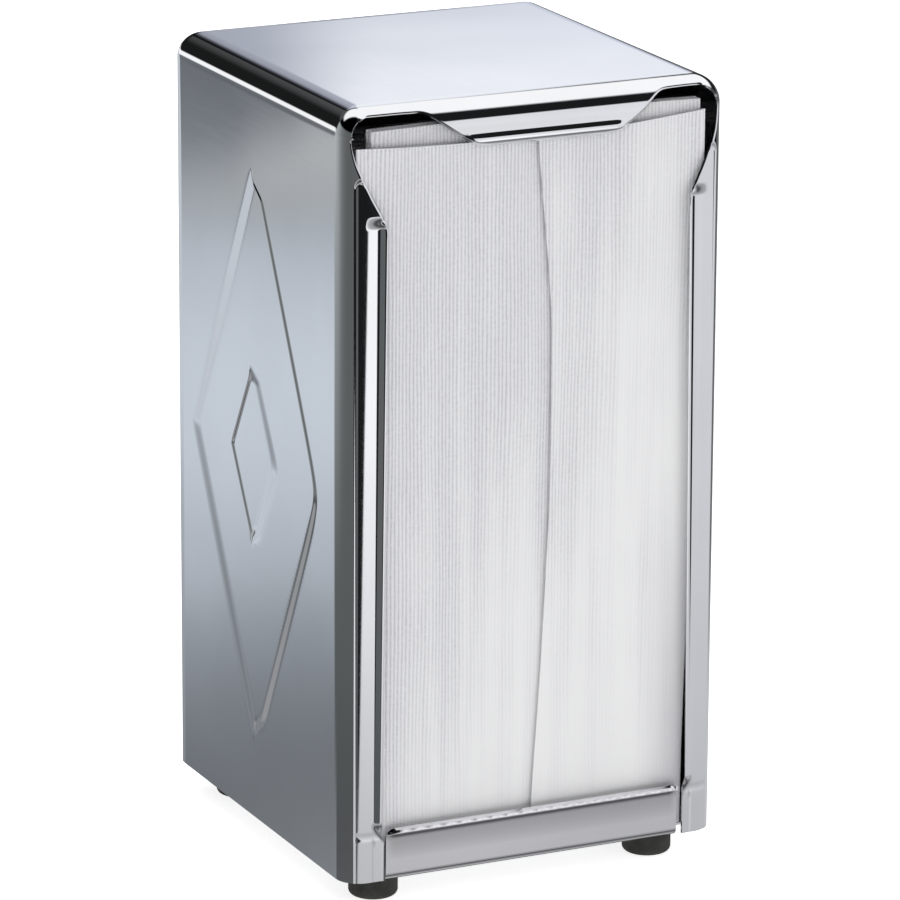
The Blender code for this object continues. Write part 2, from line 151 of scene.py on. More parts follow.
class Graph:
    """Short calls for building a node tree."""

    def __init__(self, tree):
        self.tree = tree

    def node(self, kind, **settings):
        node = self.tree.nodes.new(kind)
        for key, value in settings.items():
            setattr(node, key, value)
        return node

    def put(self, socket, value):
        if hasattr(value, "links"):
            self.tree.links.new(value, socket)
        else:
            socket.default_value = value

    def math(self, operation, a, b=0.0):
        node = self.node("ShaderNodeMath", operation=operation)
        self.put(node.inputs[0], a)
        self.put(node.inputs[1], b)
        return node.outputs[0]

    def times(self, *values):
        product = values[0]
        for value in values[1:]:
            product = self.math("MULTIPLY", product, value)
        return product

    def plus(self, *values):
        total = values[0]
        for value in values[1:]:
            total = self.math("ADD", total, value)
        return total

    def wave01(self, phase):
        """A sine wave between 0 and 1."""
        sine = self.math("SINE", phase)
        node = self.node("ShaderNodeMath", operation="MULTIPLY_ADD")
        self.put(node.inputs[0], sine)
        node.inputs[1].default_value = 0.5
        node.inputs[2].default_value = 0.5
        return node.outputs[0]

    def ramp01(self, value, low, high, smooth=True, start=0.0, end=1.0):
        """Goes from start to end as value goes from low to high, and stays there."""
        node = self.node("ShaderNodeMapRange", clamp=True)
        node.interpolation_type = "SMOOTHSTEP" if smooth else "LINEAR"
        self.put(node.inputs["Value"], value)
        node.inputs["From Min"].default_value = low
        node.inputs["From Max"].default_value = high
        node.inputs["To Min"].default_value = start
        node.inputs["To Max"].default_value = end
        return node.outputs["Result"]

    def falls(self, value, low, high):
        """1 up to low and 0 from high on."""
        return self.ramp01(value, low, high, start=1.0, end=0.0)

    def within(self, value, low, high, soft_low, soft_high):
        """1 between low and high and 0 outside, with soft edges."""
        rise = self.ramp01(value, low - soft_low, low + soft_low)
        return self.times(rise, self.falls(value, high - soft_high, high + soft_high))

    def line(self, value, *places):
        """A level that goes straight from one (value, level) place to the next."""
        first, last = places[0][0], places[-1][0]
        node = self.node("ShaderNodeFloatCurve")
        self.put(node.inputs["Value"], self.ramp01(value, first, last, False))
        points = node.mapping.curves[0].points
        for k, (at, level) in enumerate(places):
            point = points[k] if k < 2 else points.new(0.5, 0.5)
            point.location = ((at - first) / (last - first), level / CURVE_TOP)
        node.mapping.update()
        return self.times(node.outputs["Value"], CURVE_TOP)

    def mix(self, factor, a, b):
        node = self.node("ShaderNodeMix", data_type="RGBA", blend_type="MIX")
        self.put(node.inputs["Factor"], factor)
        self.put(node.inputs["A"], a)
        self.put(node.inputs["B"], b)
        return node.outputs["Result"]

    def noise(self, vector, scale, detail=2.0, rough=0.5):
        node = self.node("ShaderNodeTexNoise")
        self.put(node.inputs["Vector"], vector)
        node.inputs["Scale"].default_value = scale
        node.inputs["Detail"].default_value = detail
        node.inputs["Roughness"].default_value = rough
        return node.outputs["Fac"]

    def stretched(self, vector, scale):
        node = self.node("ShaderNodeMapping")
        self.put(node.inputs["Vector"], vector)
        node.inputs["Scale"].default_value = scale
        return node.outputs["Vector"]

    def bump(self, height, distance, strength=1.0):
        node = self.node("ShaderNodeBump")
        node.inputs["Strength"].default_value = strength
        node.inputs["Distance"].default_value = distance
        self.put(node.inputs["Height"], height)
        return node.outputs["Normal"]


def new_material(name):
    mat = bpy.data.materials.new(name)
    mat.use_nodes = True
    graph = Graph(mat.node_tree)
    shader = mat.node_tree.nodes["Principled BSDF"]
    where = graph.node("ShaderNodeTexCoord").outputs["Object"]
    return mat, graph, shader, where


# =====================================================================================
# materials
# =====================================================================================


def chrome_material(name, colour, roughness, wave):
    """Bright plate: faint long waves in the sheet, polishing lines and a little haze."""
    mat, graph, shader, where = new_material(name)
    shader.inputs["Metallic"].default_value = 1.0
    haze = graph.noise(where, 38.0, 3.0)
    tint = graph.mix(graph.ramp01(haze, 0.3, 0.7), (*colour, 1), (*[c * 0.965 for c in colour], 1))
    graph.put(shader.inputs["Base Color"], tint)
    lines = graph.noise(graph.stretched(where, (900.0, 60.0, 900.0)), 1.0, 2.0)
    rough = graph.ramp01(lines, 0.25, 0.75, start=roughness * 0.85, end=roughness * 1.25)
    graph.put(shader.inputs["Roughness"], rough)
    slow = graph.noise(where, 14.0, 1.0)
    graph.put(shader.inputs["Normal"], graph.bump(slow, wave))
    return mat


def plate_material(name, colour, roughness):
    """Plain plated sheet or turned steel, with drawing lines."""
    mat, graph, shader, where = new_material(name)
    shader.inputs["Metallic"].default_value = 1.0
    lines = graph.noise(graph.stretched(where, (1500.0, 1500.0, 80.0)), 1.0, 3.0)
    dark = [c * 0.82 for c in colour]
    tint = graph.mix(graph.ramp01(lines, 0.3, 0.7), (*colour, 1), (*dark, 1))
    graph.put(shader.inputs["Base Color"], tint)
    rough = graph.ramp01(lines, 0.3, 0.7, start=roughness, end=roughness * 1.35)
    graph.put(shader.inputs["Roughness"], rough)
    graph.put(shader.inputs["Normal"], graph.bump(lines, 0.00002))
    return mat


def rubber_material(name):
    mat, graph, shader, where = new_material(name)
    grain = graph.noise(where, 2600.0, 3.0)
    patch = graph.noise(where, 260.0, 2.0)
    tint = graph.mix(graph.ramp01(patch, 0.3, 0.7), (0.052, 0.053, 0.045, 1), (0.036, 0.037, 0.032, 1))
    graph.put(shader.inputs["Base Color"], tint)
    graph.put(shader.inputs["Roughness"], graph.ramp01(patch, 0.2, 0.8, start=0.62, end=0.78))
    shader.inputs["Specular IOR Level"].default_value = 0.4
    graph.put(shader.inputs["Normal"], graph.bump(grain, 0.00003))
    return mat


# the emboss: its upright ribs and its cross threads, in metres
RIB_PITCH = 0.00093
THREAD_PITCH = 0.00047
EMBOSS_DEPTH = 0.00016


def linen_weave(graph, where, x, z):
    """Uneven upright ribs, fine cross threads, and both with some grain."""
    drift = graph.noise(graph.stretched(where, (55.0, 55.0, 9.0)), 1.0, 2.0)
    shake = graph.noise(graph.stretched(where, (700.0, 700.0, 120.0)), 1.0, 2.0)
    phase = graph.plus(graph.times(x, 2 * math.pi / RIB_PITCH), graph.times(drift, 26.0))
    ribs = graph.wave01(graph.plus(phase, graph.times(shake, 2.6)))
    phase = graph.plus(graph.times(z, 2 * math.pi / THREAD_PITCH), graph.times(drift, 14.0))
    threads = graph.wave01(graph.plus(phase, graph.times(graph.noise(where, 420.0, 1.0), 3.0)))
    grain = graph.noise(graph.stretched(where, (620.0, 620.0, 1500.0)), 1.0, 2.0)
    weave = graph.plus(graph.times(ribs, 0.55), graph.times(threads, 0.25), graph.times(grain, 0.5))
    return threads, weave


def emboss_depth_and_shade(graph, where, x, z):
    """The emboss is deeper in upright streaks and towards the upper left; the paper's colour reads the same
    mask as painted shade, darker towards the upper left.
    """
    bands = graph.noise(graph.stretched(where, (240.0, 240.0, 8.0)), 1.0, 2.0)
    clouds = graph.noise(graph.stretched(where, (30.0, 30.0, 16.0)), 1.0, 2.0)
    streak = graph.plus(graph.times(bands, 0.6), graph.times(clouds, 0.6))
    # painted shade: the mask rises towards the upper left, the side turned away from the light
    across = graph.plus(graph.times(x, -4.6), graph.times(z, 2.6))
    return graph.ramp01(graph.plus(streak, across), 0.50, 1.22)


def paper_material(name, shade=1.0):
    """White tissue with a linen emboss, with painted shade under the lip, towards the upper left, in the
    lower right corner and in the emboss's hollows; shade below 1 makes a darker copy as painted shade.
    """
    mat, graph, shader, where = new_material(name)
    parts = graph.node("ShaderNodeSeparateXYZ")
    graph.put(parts.inputs[0], where)
    x, _, z = parts.outputs
    threads, weave = linen_weave(graph, where, x, z)
    emboss_and_shade = emboss_depth_and_shade(graph, where, x, z)
    # light is the lit paper; dim and dark are the same paper in painted shade
    light = tuple(c * shade for c in (0.80, 0.80, 0.802)) + (1,)
    dim = tuple(c * shade for c in (0.68, 0.678, 0.71)) + (1,)
    dark = tuple(c * shade for c in (0.40, 0.395, 0.43)) + (1,)
    # painted shadow of the lip: under it the paper is a little darker
    shaded = graph.ramp01(z, 0.150, 0.184, end=0.45)
    # painted shade: the paper turns dim under the lip and towards the upper left
    base = graph.mix(graph.math("MAXIMUM", graph.times(emboss_and_shade, 0.75), shaded), light, dim)
    # painted shade in the lower right corner, where the stack leans away
    corner_shade = graph.times(graph.ramp01(x, 0.0255, 0.0395), graph.ramp01(z, 0.11, 0.018))
    base = graph.mix(graph.times(corner_shade, 0.62), base, dark)
    # painted shade in the hollows of the emboss, between the ribs and threads, stronger towards the upper
    # left
    dashes = graph.times(graph.ramp01(weave, 0.74, 0.38), graph.ramp01(threads, 0.0, 0.9, start=0.45))
    pit_shade = graph.times(dashes, graph.ramp01(emboss_and_shade, 0.05, 0.9, start=0.03, end=0.8))
    graph.put(shader.inputs["Base Color"], graph.mix(pit_shade, base, dark))
    shader.inputs["Roughness"].default_value = 0.92
    shader.inputs["Specular IOR Level"].default_value = 0.12
    shader.inputs["Sheen Weight"].default_value = 0.12
    shader.inputs["Sheen Roughness"].default_value = 0.5
    relief = graph.times(weave, graph.ramp01(emboss_and_shade, 0.0, 0.9, start=0.14))
    graph.put(shader.inputs["Normal"], graph.bump(relief, EMBOSS_DEPTH, 0.8))
    return mat


# =====================================================================================
# mesh helpers
# =====================================================================================


def link(name, mesh, mat, sharp=40.0):
    mesh.materials.append(mat)
    mesh.shade_smooth()
    if sharp:
        mesh.set_sharp_from_angle(angle=math.radians(sharp))
    obj = bpy.data.objects.new(name, mesh)
    bpy.context.scene.collection.objects.link(obj)
    return obj


def closed_mesh(name, verts, faces):
    """A mesh from points in millimetres, with its faces turned outwards."""
    mesh = bpy.data.meshes.new(name)
    mesh.from_pydata((np.asarray(verts) * MM).tolist(), [], faces)
    bm = bmesh.new()
    bm.from_mesh(mesh)
    bmesh.ops.recalc_face_normals(bm, faces=bm.faces[:])
    bm.to_mesh(mesh)
    bm.free()
    return mesh


def grid_quads(rows, cols, keep=None):
    i, j = np.meshgrid(np.arange(rows - 1), np.arange(cols - 1), indexing="ij")
    a = i * cols + j
    quads = np.stack([a, a + 1, a + cols + 1, a + cols], -1)
    if keep is not None:
        return quads[keep]
    return quads.reshape(-1, 4)


def grid_normals(points):
    along = np.gradient(points, axis=0)
    across = np.gradient(points, axis=1)
    normal = np.cross(along, across)
    return normal / np.maximum(np.linalg.norm(normal, axis=-1, keepdims=True), 1e-12)


def open_edges(quads):
    """The edges that belong to one face only, in the direction of that face."""
    edges = {}
    for quad in quads:
        for k in range(4):
            a, b = int(quad[k]), int(quad[(k + 1) % 4])
            if (b, a) in edges:
                del edges[(b, a)]
            else:
                edges[(a, b)] = True
    return list(edges)


def thick_sheet(name, points, mat, keep=None):
    """One closed body of sheet metal from a grid of its outer points in millimetres."""
    rows, cols = points.shape[:2]
    normal = grid_normals(points)
    quads = grid_quads(rows, cols, keep)
    outward = float(np.sum(normal * (points - np.array(INSIDE)))) > 0
    inner = points - normal * SHEET * (1 if outward else -1)
    count = rows * cols
    verts = np.concatenate([points.reshape(-1, 3), inner.reshape(-1, 3)])
    faces = quads.tolist() + (quads[:, ::-1] + count).tolist()
    faces += [[b, a, a + count, b + count] for a, b in open_edges(quads)]
    used = np.unique(quads.ravel())
    used = np.concatenate([used, used + count])
    lookup = np.full(2 * count, -1)
    lookup[used] = np.arange(len(used))
    faces = [[int(lookup[v]) for v in face] for face in faces]
    return link(name, closed_mesh(name, verts[used], faces), mat)


def ring_quads(rings, steps, closed=False):
    """Quads between rings that follow each other; closed joins the last ring to the first."""
    faces = []
    for i in range(rings if closed else rings - 1):
        n = (i + 1) % rings
        for k in range(steps):
            m = (k + 1) % steps
            faces.append([i * steps + k, i * steps + m, n * steps + m, n * steps + k])
    return faces


def tube_faces(rings, steps):
    """Quads between rings and a cap at either end."""
    last = (rings - 1) * steps
    return ring_quads(rings, steps) + [list(range(steps))[::-1], list(range(last, last + steps))]


def smooth_table(pairs, blur, step=0.05):
    """A table read through straight lines whose corners are then rounded."""
    xs = np.array([p[0] for p in pairs], float)
    ys = np.array([p[1] for p in pairs], float)
    dense = np.arange(xs[0] - 6 * blur, xs[-1] + 6 * blur, step)
    values = np.interp(dense, xs, ys)
    width = np.arange(-4 * blur, 4 * blur + step, step)
    kernel = np.exp(-0.5 * (width / blur) ** 2)
    padded = np.pad(values, len(kernel) // 2, mode="edge")
    smooth = np.convolve(padded, kernel / kernel.sum(), mode="valid")[: len(dense)]
    return lambda value: np.interp(value, dense, smooth)


def ease(value, low, high):
    t = np.clip((value - low) / (high - low), 0.0, 1.0)
    return t * t * (3 - 2 * t)


# =====================================================================================
# casing
# =====================================================================================

SIDE_EDGE = smooth_table(
    [
        (0.0, 9.3), (17.0, 9.3), (18.2, 8.7), (163.0, 10.0), (165.6, 9.2), (169.0, 7.4),
        (172.0, 5.85), (175.2, 4.2), (178.6, 2.9), (181.6, 2.15), (184.5, 1.9),
    ],
    0.6,
)
TOP_EDGE = smooth_table(
    [
        (0.0, 10.4), (14.7, 10.4), (17.2, 10.1), (19.2, 9.3), (21.3, 8.2), (24.0, 6.3),
        (26.8, 4.2), (28.8, 2.7), (30.5, 2.05), (36.0, 1.9), (48.0, 1.9),
    ],
    0.8,
)
# middle height, half height, depth of the middle, reach forward and back
OUTER_DIAMOND = (96.95, 67.4, 1.5, -37.7, 34.3)
INNER_DIAMOND = (97.45, 19.9, 2.4, -14.0, 11.4)
PLATEAU = 0.38
FRONT_CORNER_ROUNDING = 0.06
# the rows up a side start at these heights with these steps, the last ones end at SIDE_ROWS_END
SIDE_ROWS = ((BODY_Z0, 0.7), (26.0, 1.25), (156.0, 0.7), (163.0, 0.2), (167.0, 0.35), (179.0, 0.6))
SIDE_ROWS_END = 184.3
TOP_STEP = 0.8
CORNER_STEPS = 20
FLANGE_STEPS = 64
SIDE_STEPS = 130
# the flange is this wide round the corner of the window
CORNER_FLANGE = 1.9
# the recess in the side flange: depth, distance inward, top and how round its corner is
RECESS_DEPTH = 0.22
RECESS_INWARD = 2.55
RECESS_TOP = 175.2
RECESS_CORNER = 2.2
# the flared strip ends between these heights
STRIP_END = (164.2, 165.6)
SEAM_Z = 18.6
MARK_INWARD = 7.1
# the long oval bead of the lip: height, middle, half length and distance inward
BEAD_HEIGHT = 0.75
BEAD_X = 1.3
BEAD_HALF = 18.8
BEAD_INWARD = 8.85


def diamond_edges(z, diamond):
    """Depths of a diamond's front and rear edges at a height; the front corner is rounder."""
    middle_z, half_z, middle_y, fore, back = diamond
    away = np.abs(z - middle_z) / half_z
    soft = np.sqrt(away**2 + FRONT_CORNER_ROUNDING**2)
    shift = (fore + back) * (1.0 - ease(away, 0.93, 1.0))
    front = middle_y + shift - back * (1.0 - soft)
    rear = middle_y + back * (1.0 - away)
    return front, rear


def diamond_inside(y, z, diamond, front_width, rear_width):
    """0 outside a diamond and 1 inside, with a slope of its own width on each side."""
    front, rear = diamond_edges(z, diamond)
    rise = ease(y, front - front_width / 2, front + front_width / 2)
    fall = 1.0 - ease(y, rear - rear_width / 2, rear + rear_width / 2)
    return rise * fall


def side_relief(y, z):
    """Raised between the outer and the inner diamond; the front slope is wider low down."""
    front_slope = 1.0 + 1.8 * ease(-z, -100.0, -86.0)
    outer = diamond_inside(y, z, OUTER_DIAMOND, front_slope, 5.2)
    inner = diamond_inside(y, z, INNER_DIAMOND, 4.2, 1.0)
    return PLATEAU * (outer - 0.9 * inner)


def side_columns(z, low, high, count):
    """Places across a side, closer together where the diamonds' edges run."""
    fine = np.linspace(low, high, 2400)
    crowd = np.ones_like(fine)
    for diamond in (OUTER_DIAMOND, INNER_DIAMOND):
        middle_z, half_z = diamond[:2]
        share = 9.0 * (1.0 - ease(abs(z - middle_z), half_z - 6.0, half_z + 26.0))
        nearest = min(max(z, middle_z - half_z), middle_z + half_z)
        for edge in diamond_edges(nearest, diamond):
            crowd += share * np.exp(-(((fine - edge) / 1.1) ** 2))
    total = np.cumsum(crowd)
    return np.interp(np.linspace(total[0], total[-1], count + 2)[1:-1], total, fine)


def bend_depth(inward, bend):
    """How far forward a bent sheet has come, by distance inward from the casing's outline."""
    rest = np.clip(bend - inward, 0.0, bend)
    return np.where(inward >= bend, HALF_D, HALF_D - bend + np.sqrt(bend**2 - rest**2))


def side_flange_relief(inward, z):
    """Forward offsets of the side flange: the recess, the flared strip, the seam and a mark."""
    # the recess starts beside the bend and its upper end is rounded
    over_x = RECESS_INWARD - inward
    over_z = z - RECESS_TOP
    a, b = np.maximum(over_x + RECESS_CORNER, 0), np.maximum(over_z + RECESS_CORNER, 0)
    outside = np.where((a > 0) & (b > 0), np.hypot(a, b) - RECESS_CORNER, np.maximum(over_x, over_z))
    recess = -RECESS_DEPTH * (1.0 - ease(outside, -0.3, 0.3))
    above = 0.11 * np.maximum(inward - 2.9, 0.0) ** 2 * ease(z, 173.6, 175.6)
    tilt = 0.2 * np.maximum(inward - 4.7, 0.0) * ease(z, 163.2, 166.4) * (1.0 - ease(z, 173.6, 175.6))
    # the strip: its crease runs a little outward towards the bottom and closes at both ends
    crease = 6.35 + 1.3 * (z - 25.0) / 135.0
    crease += 2.6 * np.clip((21.0 - z) / 3.6, 0.0, 1.0)
    u = np.maximum(inward - crease, 0.0)
    strip = np.where(u < 1.0, 0.35 * u**2, 0.35 + 0.7 * (u - 1.0)) * (1.0 - ease(z, *STRIP_END))
    seam = -0.03 * np.exp(-(((z - SEAM_Z) / 0.35) ** 2)) * ease(inward, 2.2, 2.8)
    mark = -0.06 * np.exp(-(((inward - MARK_INWARD) / 0.25) ** 2)) * (1.0 - ease(z, 16.6, 17.6))
    return recess + above + tilt + strip + seam + mark


def lip_relief(inward, x):
    """Forward offsets of the top lip: a slight flare and the long oval bead."""
    flare = 0.6 * ease(inward, 5.5, 13.0)
    past = np.maximum(np.abs(x - BEAD_X) - BEAD_HALF, 0.0)
    away = np.hypot(past, inward - BEAD_INWARD)
    bead = BEAD_HEIGHT * (1.0 - ease(away, 0.2, 1.8))
    return flare + bead


def rolled_back(inward, edge):
    """The sheared edge is rounded over, away from the front."""
    return -0.35 * (np.clip(inward - edge + 0.75, 0.0, 0.75) / 0.75) ** 2


def casing_rows():
    """Round the outline: (place, way inward, flange width, 0 side to 1 top, height on a side)."""
    ends = [start for start, _ in SIDE_ROWS[1:]] + [SIDE_ROWS_END]
    heights = [np.arange(start, end, step) for (start, step), end in zip(SIDE_ROWS, ends)]
    rows = [((-HALF_W, z), (1.0, 0.0), float(SIDE_EDGE(z)), 0.0, z) for z in np.concatenate(heights)]
    centre = (-HALF_W + TOP_BEND, HEIGHT - TOP_BEND)
    for k in range(CORNER_STEPS + 1):
        turn = math.pi - math.pi / 2 * k / CORNER_STEPS
        out = (math.cos(turn), math.sin(turn))
        at = (centre[0] + TOP_BEND * out[0], centre[1] + TOP_BEND * out[1])
        rows.append((at, (-out[0], -out[1]), CORNER_FLANGE, k / CORNER_STEPS, 0.0))
    left = list(rows)
    tops = np.arange(-HALF_W + TOP_BEND, 0.0, TOP_STEP)[1:]
    tops = tops[tops < -0.3]
    for x in np.concatenate([tops, [0.0], -tops[::-1]]):
        rows.append(((x, HEIGHT), (0.0, -1.0), float(TOP_EDGE(abs(x - TONGUE_X))), 1.0, 0.0))
    rows += [((-at[0], at[1]), (-way[0], way[1]), edge, kind, z) for at, way, edge, kind, z in reversed(left)]
    return rows


def flange_edge_shift(x, z):
    """How far the flange's edge moves inward near the floor, where its two sides differ."""
    return (0.45 if x < 0 else -0.4) * (1.0 - ease(z, 16.6, 18.4))


def build_casing(mat):
    steps = np.linspace(1.0, 0.0, FLANGE_STEPS)
    grid = []
    for at, way, edge, kind, z in casing_rows():
        inward = steps * edge
        bend = SIDE_FACE_BEND + (TOP_FACE_BEND - SIDE_FACE_BEND) * kind
        if kind == 0.0:
            inward = inward * (1.0 + flange_edge_shift(at[0], z) / edge)
        forward = bend_depth(inward, bend)
        if kind == 0.0:
            forward = forward + side_flange_relief(inward, z)
            forward = forward + rolled_back(inward, edge) * ease(z, 18.5, 21.0)
        elif kind == 1.0:
            forward = forward + lip_relief(inward, at[0]) + rolled_back(inward, edge)
        inner_y = side_columns(z, bend - HALF_D, HALF_D - bend, SIDE_STEPS)
        lift = side_relief(inner_y, z) if kind == 0.0 else np.zeros_like(inner_y)
        front = np.stack([at[0] + way[0] * inward, -forward, at[1] + way[1] * inward], -1)
        middle = np.stack([at[0] - way[0] * lift, inner_y, at[1] - way[1] * lift], -1)
        rear = front[::-1] * np.array([1.0, -1.0, 1.0])
        grid.append(np.concatenate([front, middle, rear]))
    casing = thick_sheet("casing_sheet", np.array(grid), mat)
    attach(casing, "body")
    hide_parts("casing")


# =====================================================================================
# base pan
# =====================================================================================


PAN_WALL = HALF_W - SHEET - 0.3
PAN_WALL_TOP = 15.5
SIDE_FOLD = 1.3
RAIL_FOLD = 1.5
FOLD_STEPS = 7
# section of the rail's rolled lip: how far forward of the rail and below its top
LIP_SECTION = (
    (0.95, 0.75), (1.05, 0.45), (0.95, 0.15), (0.72, 0.02), (0.48, 0.15),
    (0.34, 0.5), (0.24, 1.0), (0.13, 1.5), (0.05, 2.0), (0.0, 2.6),
)
LIP_REACH = LIP_SECTION[0][0]
LIP_FADE = 2.2


def fold_points(wall, radius):
    """Section of a quarter bend, from an upright wall into the floor of the pan."""
    turn = np.linspace(0, math.pi / 2, FOLD_STEPS)[::-1]
    return [(wall + radius * (1 - math.sin(a)), PAN_Z + radius * (1 - math.cos(a))) for a in turn]


def build_pan(mat):
    """The pan is one sheet folded up on four sides, with rolled lips on the two rails."""
    side = [(-PAN_WALL, PAN_WALL_TOP), (-PAN_WALL, 11.0)] + fold_points(-PAN_WALL, SIDE_FOLD)
    side += [(x, PAN_Z) for x in (-44.0, -41.0)]
    near = np.linspace(0.0, 3.0, 9)
    across = np.concatenate([RAIL_LEFT + near, np.arange(-34.0, 34.5, 1.0), RAIL_RIGHT - near[::-1]])
    xs = side + [(float(x), PAN_Z) for x in across] + [(-x, z) for x, z in reversed(side)]
    rail = [(-HALF_D - out, RAIL_TOP - down) for out, down in LIP_SECTION]
    rail += [(-HALF_D, z) for z in (12.0, 9.0)] + fold_points(-HALF_D, RAIL_FOLD)
    ys = rail + [(y, PAN_Z) for y in (-HALF_D + 6.2, -30.0, -15.0, 0.0)]
    ys += [(-y, z) for y, z in reversed(ys[:-1])]
    points = np.array([[(x, y, z1 + z2 - PAN_Z) for y, z2 in ys] for x, z1 in xs])
    # the rolled lip dies out at its two ends
    lip_rows = [k for k, (y, z) in enumerate(ys) if abs(y) > HALF_D + 0.01]
    for i, (x, _) in enumerate(xs):
        fade = ease(min(RAIL_RIGHT - x, x - RAIL_LEFT), 0.0, LIP_FADE)
        wobble = 0.05 * math.sin(2.3 * x) * math.sin(0.71 * x + 1.0)
        for j in lip_rows:
            out = abs(ys[j][0]) - HALF_D
            reach = HALF_D + (out + wobble * out) * (0.25 + 0.75 * fade)
            points[i, j, 1] = math.copysign(reach, ys[j][0])
            points[i, j, 2] -= (1 - fade) * 0.5 * (out / LIP_REACH)
    # the rails end before the sides, and the corners are cut out
    rows, cols = len(xs), len(ys)
    i, j = np.meshgrid(np.arange(rows - 1), np.arange(cols - 1), indexing="ij")
    past_rail = (i < len(side)) | (i >= rows - 1 - len(side))
    by_corner = (j < len(rail)) | (j >= cols - 1 - len(rail))
    pan = thick_sheet("pan_sheet", points, mat, ~(past_rail & by_corner))
    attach(pan, "body")
    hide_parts("base_pan")


# =====================================================================================
# turned pieces: feet
# =====================================================================================


def turned(name, outline, centre, mat, steps=64):
    """Turns a closed (radius, height) outline about an upright axis."""
    angle = np.linspace(0, 2 * math.pi, steps, endpoint=False)
    ring = np.stack([np.cos(angle), np.sin(angle)], -1)
    layers = [np.concatenate([ring * r, np.full((steps, 1), z)], 1) for r, z in outline]
    verts = np.concatenate(layers) + np.array(centre)
    mesh = closed_mesh(name, verts, ring_quads(len(outline), steps, closed=True))
    return link(name, mesh, mat, 50.0)


def arc_points(centre, radius, start, end, steps):
    angles = np.radians(np.linspace(start, end, steps))
    return [(centre[0] + radius * math.cos(a), centre[1] + radius * math.sin(a)) for a in angles]


def build_feet(mat):
    """Rubber feet: turned, with rounded edges and a hole for the rivet."""
    outline = arc_points((5.45, 6.45), 0.4, 90, 0, 5)
    outline += [(5.85, 4.0), (5.85, 2.0)]
    outline += arc_points((4.55, 1.3), 1.3, 0, -90, 9)
    outline += arc_points((3.9, 0.3), 0.3, -90, -180, 4)
    outline += [(3.6, 2.8), (1.9, 2.8), (1.9, 6.85)]
    for fore, sy in (("front", -1), ("rear", 1)):
        for hand, sx in (("left", -1), ("right", 1)):
            name = fore + "_" + hand
            foot = turned("rubber_foot_" + name, outline, (sx * FOOT_X, sy * FOOT_Y, 0.0), mat)
            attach(foot, "body")
            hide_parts("foot_" + name)


# =====================================================================================
# springs
# =====================================================================================


DIVIDER_HALF = 0.3
WASHER = 0.25
WIRE_RADIUS = 0.4
COIL_TURNS = 5.0
COIL_STEPS = 40
WIRE_SIDES = 12
# radius of the coil at its start, after the first turn, before the last turn and at its end
COIL_RADII = (3.3, 5.4, 10.0, 11.1)
SPRING_START = DIVIDER_HALF + WASHER + WIRE_RADIUS
SPRING_END = FOLLOWER_FACE - SHEET - WASHER - WIRE_RADIUS


def spring_wire(way, z):
    """Points round the wire of a conical spring that lies flat at either end."""
    count = int(COIL_STEPS * COIL_TURNS)
    k = np.arange(count + 1)
    first, last = 1.2 * COIL_STEPS, count - COIL_STEPS
    rise = np.clip((k - first) / (last - first), 0, 1)
    depth = SPRING_START + (SPRING_END - SPRING_START) * rise
    radius = np.interp(k, [0, first, last, count], COIL_RADII)
    turn = 2 * math.pi * k / COIL_STEPS
    out = np.stack([np.cos(turn), np.zeros_like(turn), np.sin(turn)], -1)
    centre = np.stack([0 * depth, way * depth, 0 * depth + z], -1) + out * radius[:, None]
    around = np.linspace(0, 2 * math.pi, WIRE_SIDES, endpoint=False)[None, :, None]
    along = np.array([0.0, 1.0, 0.0])
    return centre[:, None, :] + WIRE_RADIUS * (np.cos(around) * out[:, None, :] + np.sin(around) * along)


def build_springs(mat):
    for fore, way in (("front", -1), ("rear", 1)):
        for place, z in (("lower", SPRING_Z[0]), ("upper", SPRING_Z[1])):
            name = fore + "_spring_" + place
            wire = spring_wire(way, z)
            mesh = closed_mesh("wire_" + name, wire.reshape(-1, 3), tube_faces(len(wire), WIRE_SIDES))
            spring = link("wire_" + name, mesh, mat, 60.0)
            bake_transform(spring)
            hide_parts(name)


# =====================================================================================
# napkins
# =====================================================================================


def solid_sheet(name, points, mat, thickness):
    """A grid of points in millimetres as thin paper, closed all round."""
    rows, cols = points.shape[:2]
    mesh = bpy.data.meshes.new(name)
    mesh.from_pydata((points.reshape(-1, 3) * MM).tolist(), [], grid_quads(rows, cols).tolist())
    obj = link(name, mesh, mat, 0)
    solid = obj.modifiers.new("paper", "SOLIDIFY")
    solid.thickness = thickness * MM
    solid.offset = 0.0
    solid.use_even_offset = False
    graph = bpy.context.evaluated_depsgraph_get()
    bpy.context.view_layer.update()
    thick = bpy.data.meshes.new_from_object(obj.evaluated_get(graph))
    obj.modifiers.clear()
    obj.data = thick
    thick.shade_smooth()
    thick.set_sharp_from_angle(angle=math.radians(60))
    return obj


# the outermost napkin: paper, how far it has slipped sideways, and its lean towards the bottom
PAPER = 0.07
NAPKIN_SLIP = 1.15
NAPKIN_LEAN = 3.6
LEAN_TOP = 150.0
# each layer inside lies this much deeper
LAYER_INSET = 0.13
FOLDED_DEPTH = 0.62
FOLD_HEIGHT = 172.2
# where the two flaps meet, by height
SLIT = smooth_table(
    [(5.0, -0.6), (17.0, -0.5), (55.0, 2.0), (97.0, 4.0), (141.0, 4.0), (170.0, 1.2), (186.0, -0.4)],
    6.0, 0.5,
)
# height of the fold at the top, from left to right
FRONT_TOP = smooth_table(
    [
        (-44.0, 181.9), (-36.0, 181.4), (-20.0, 180.9), (0.0, 180.8), (22.0, 181.4),
        (38.0, 182.7), (44.0, 183.4),
    ],
    2.5, 0.5,
)


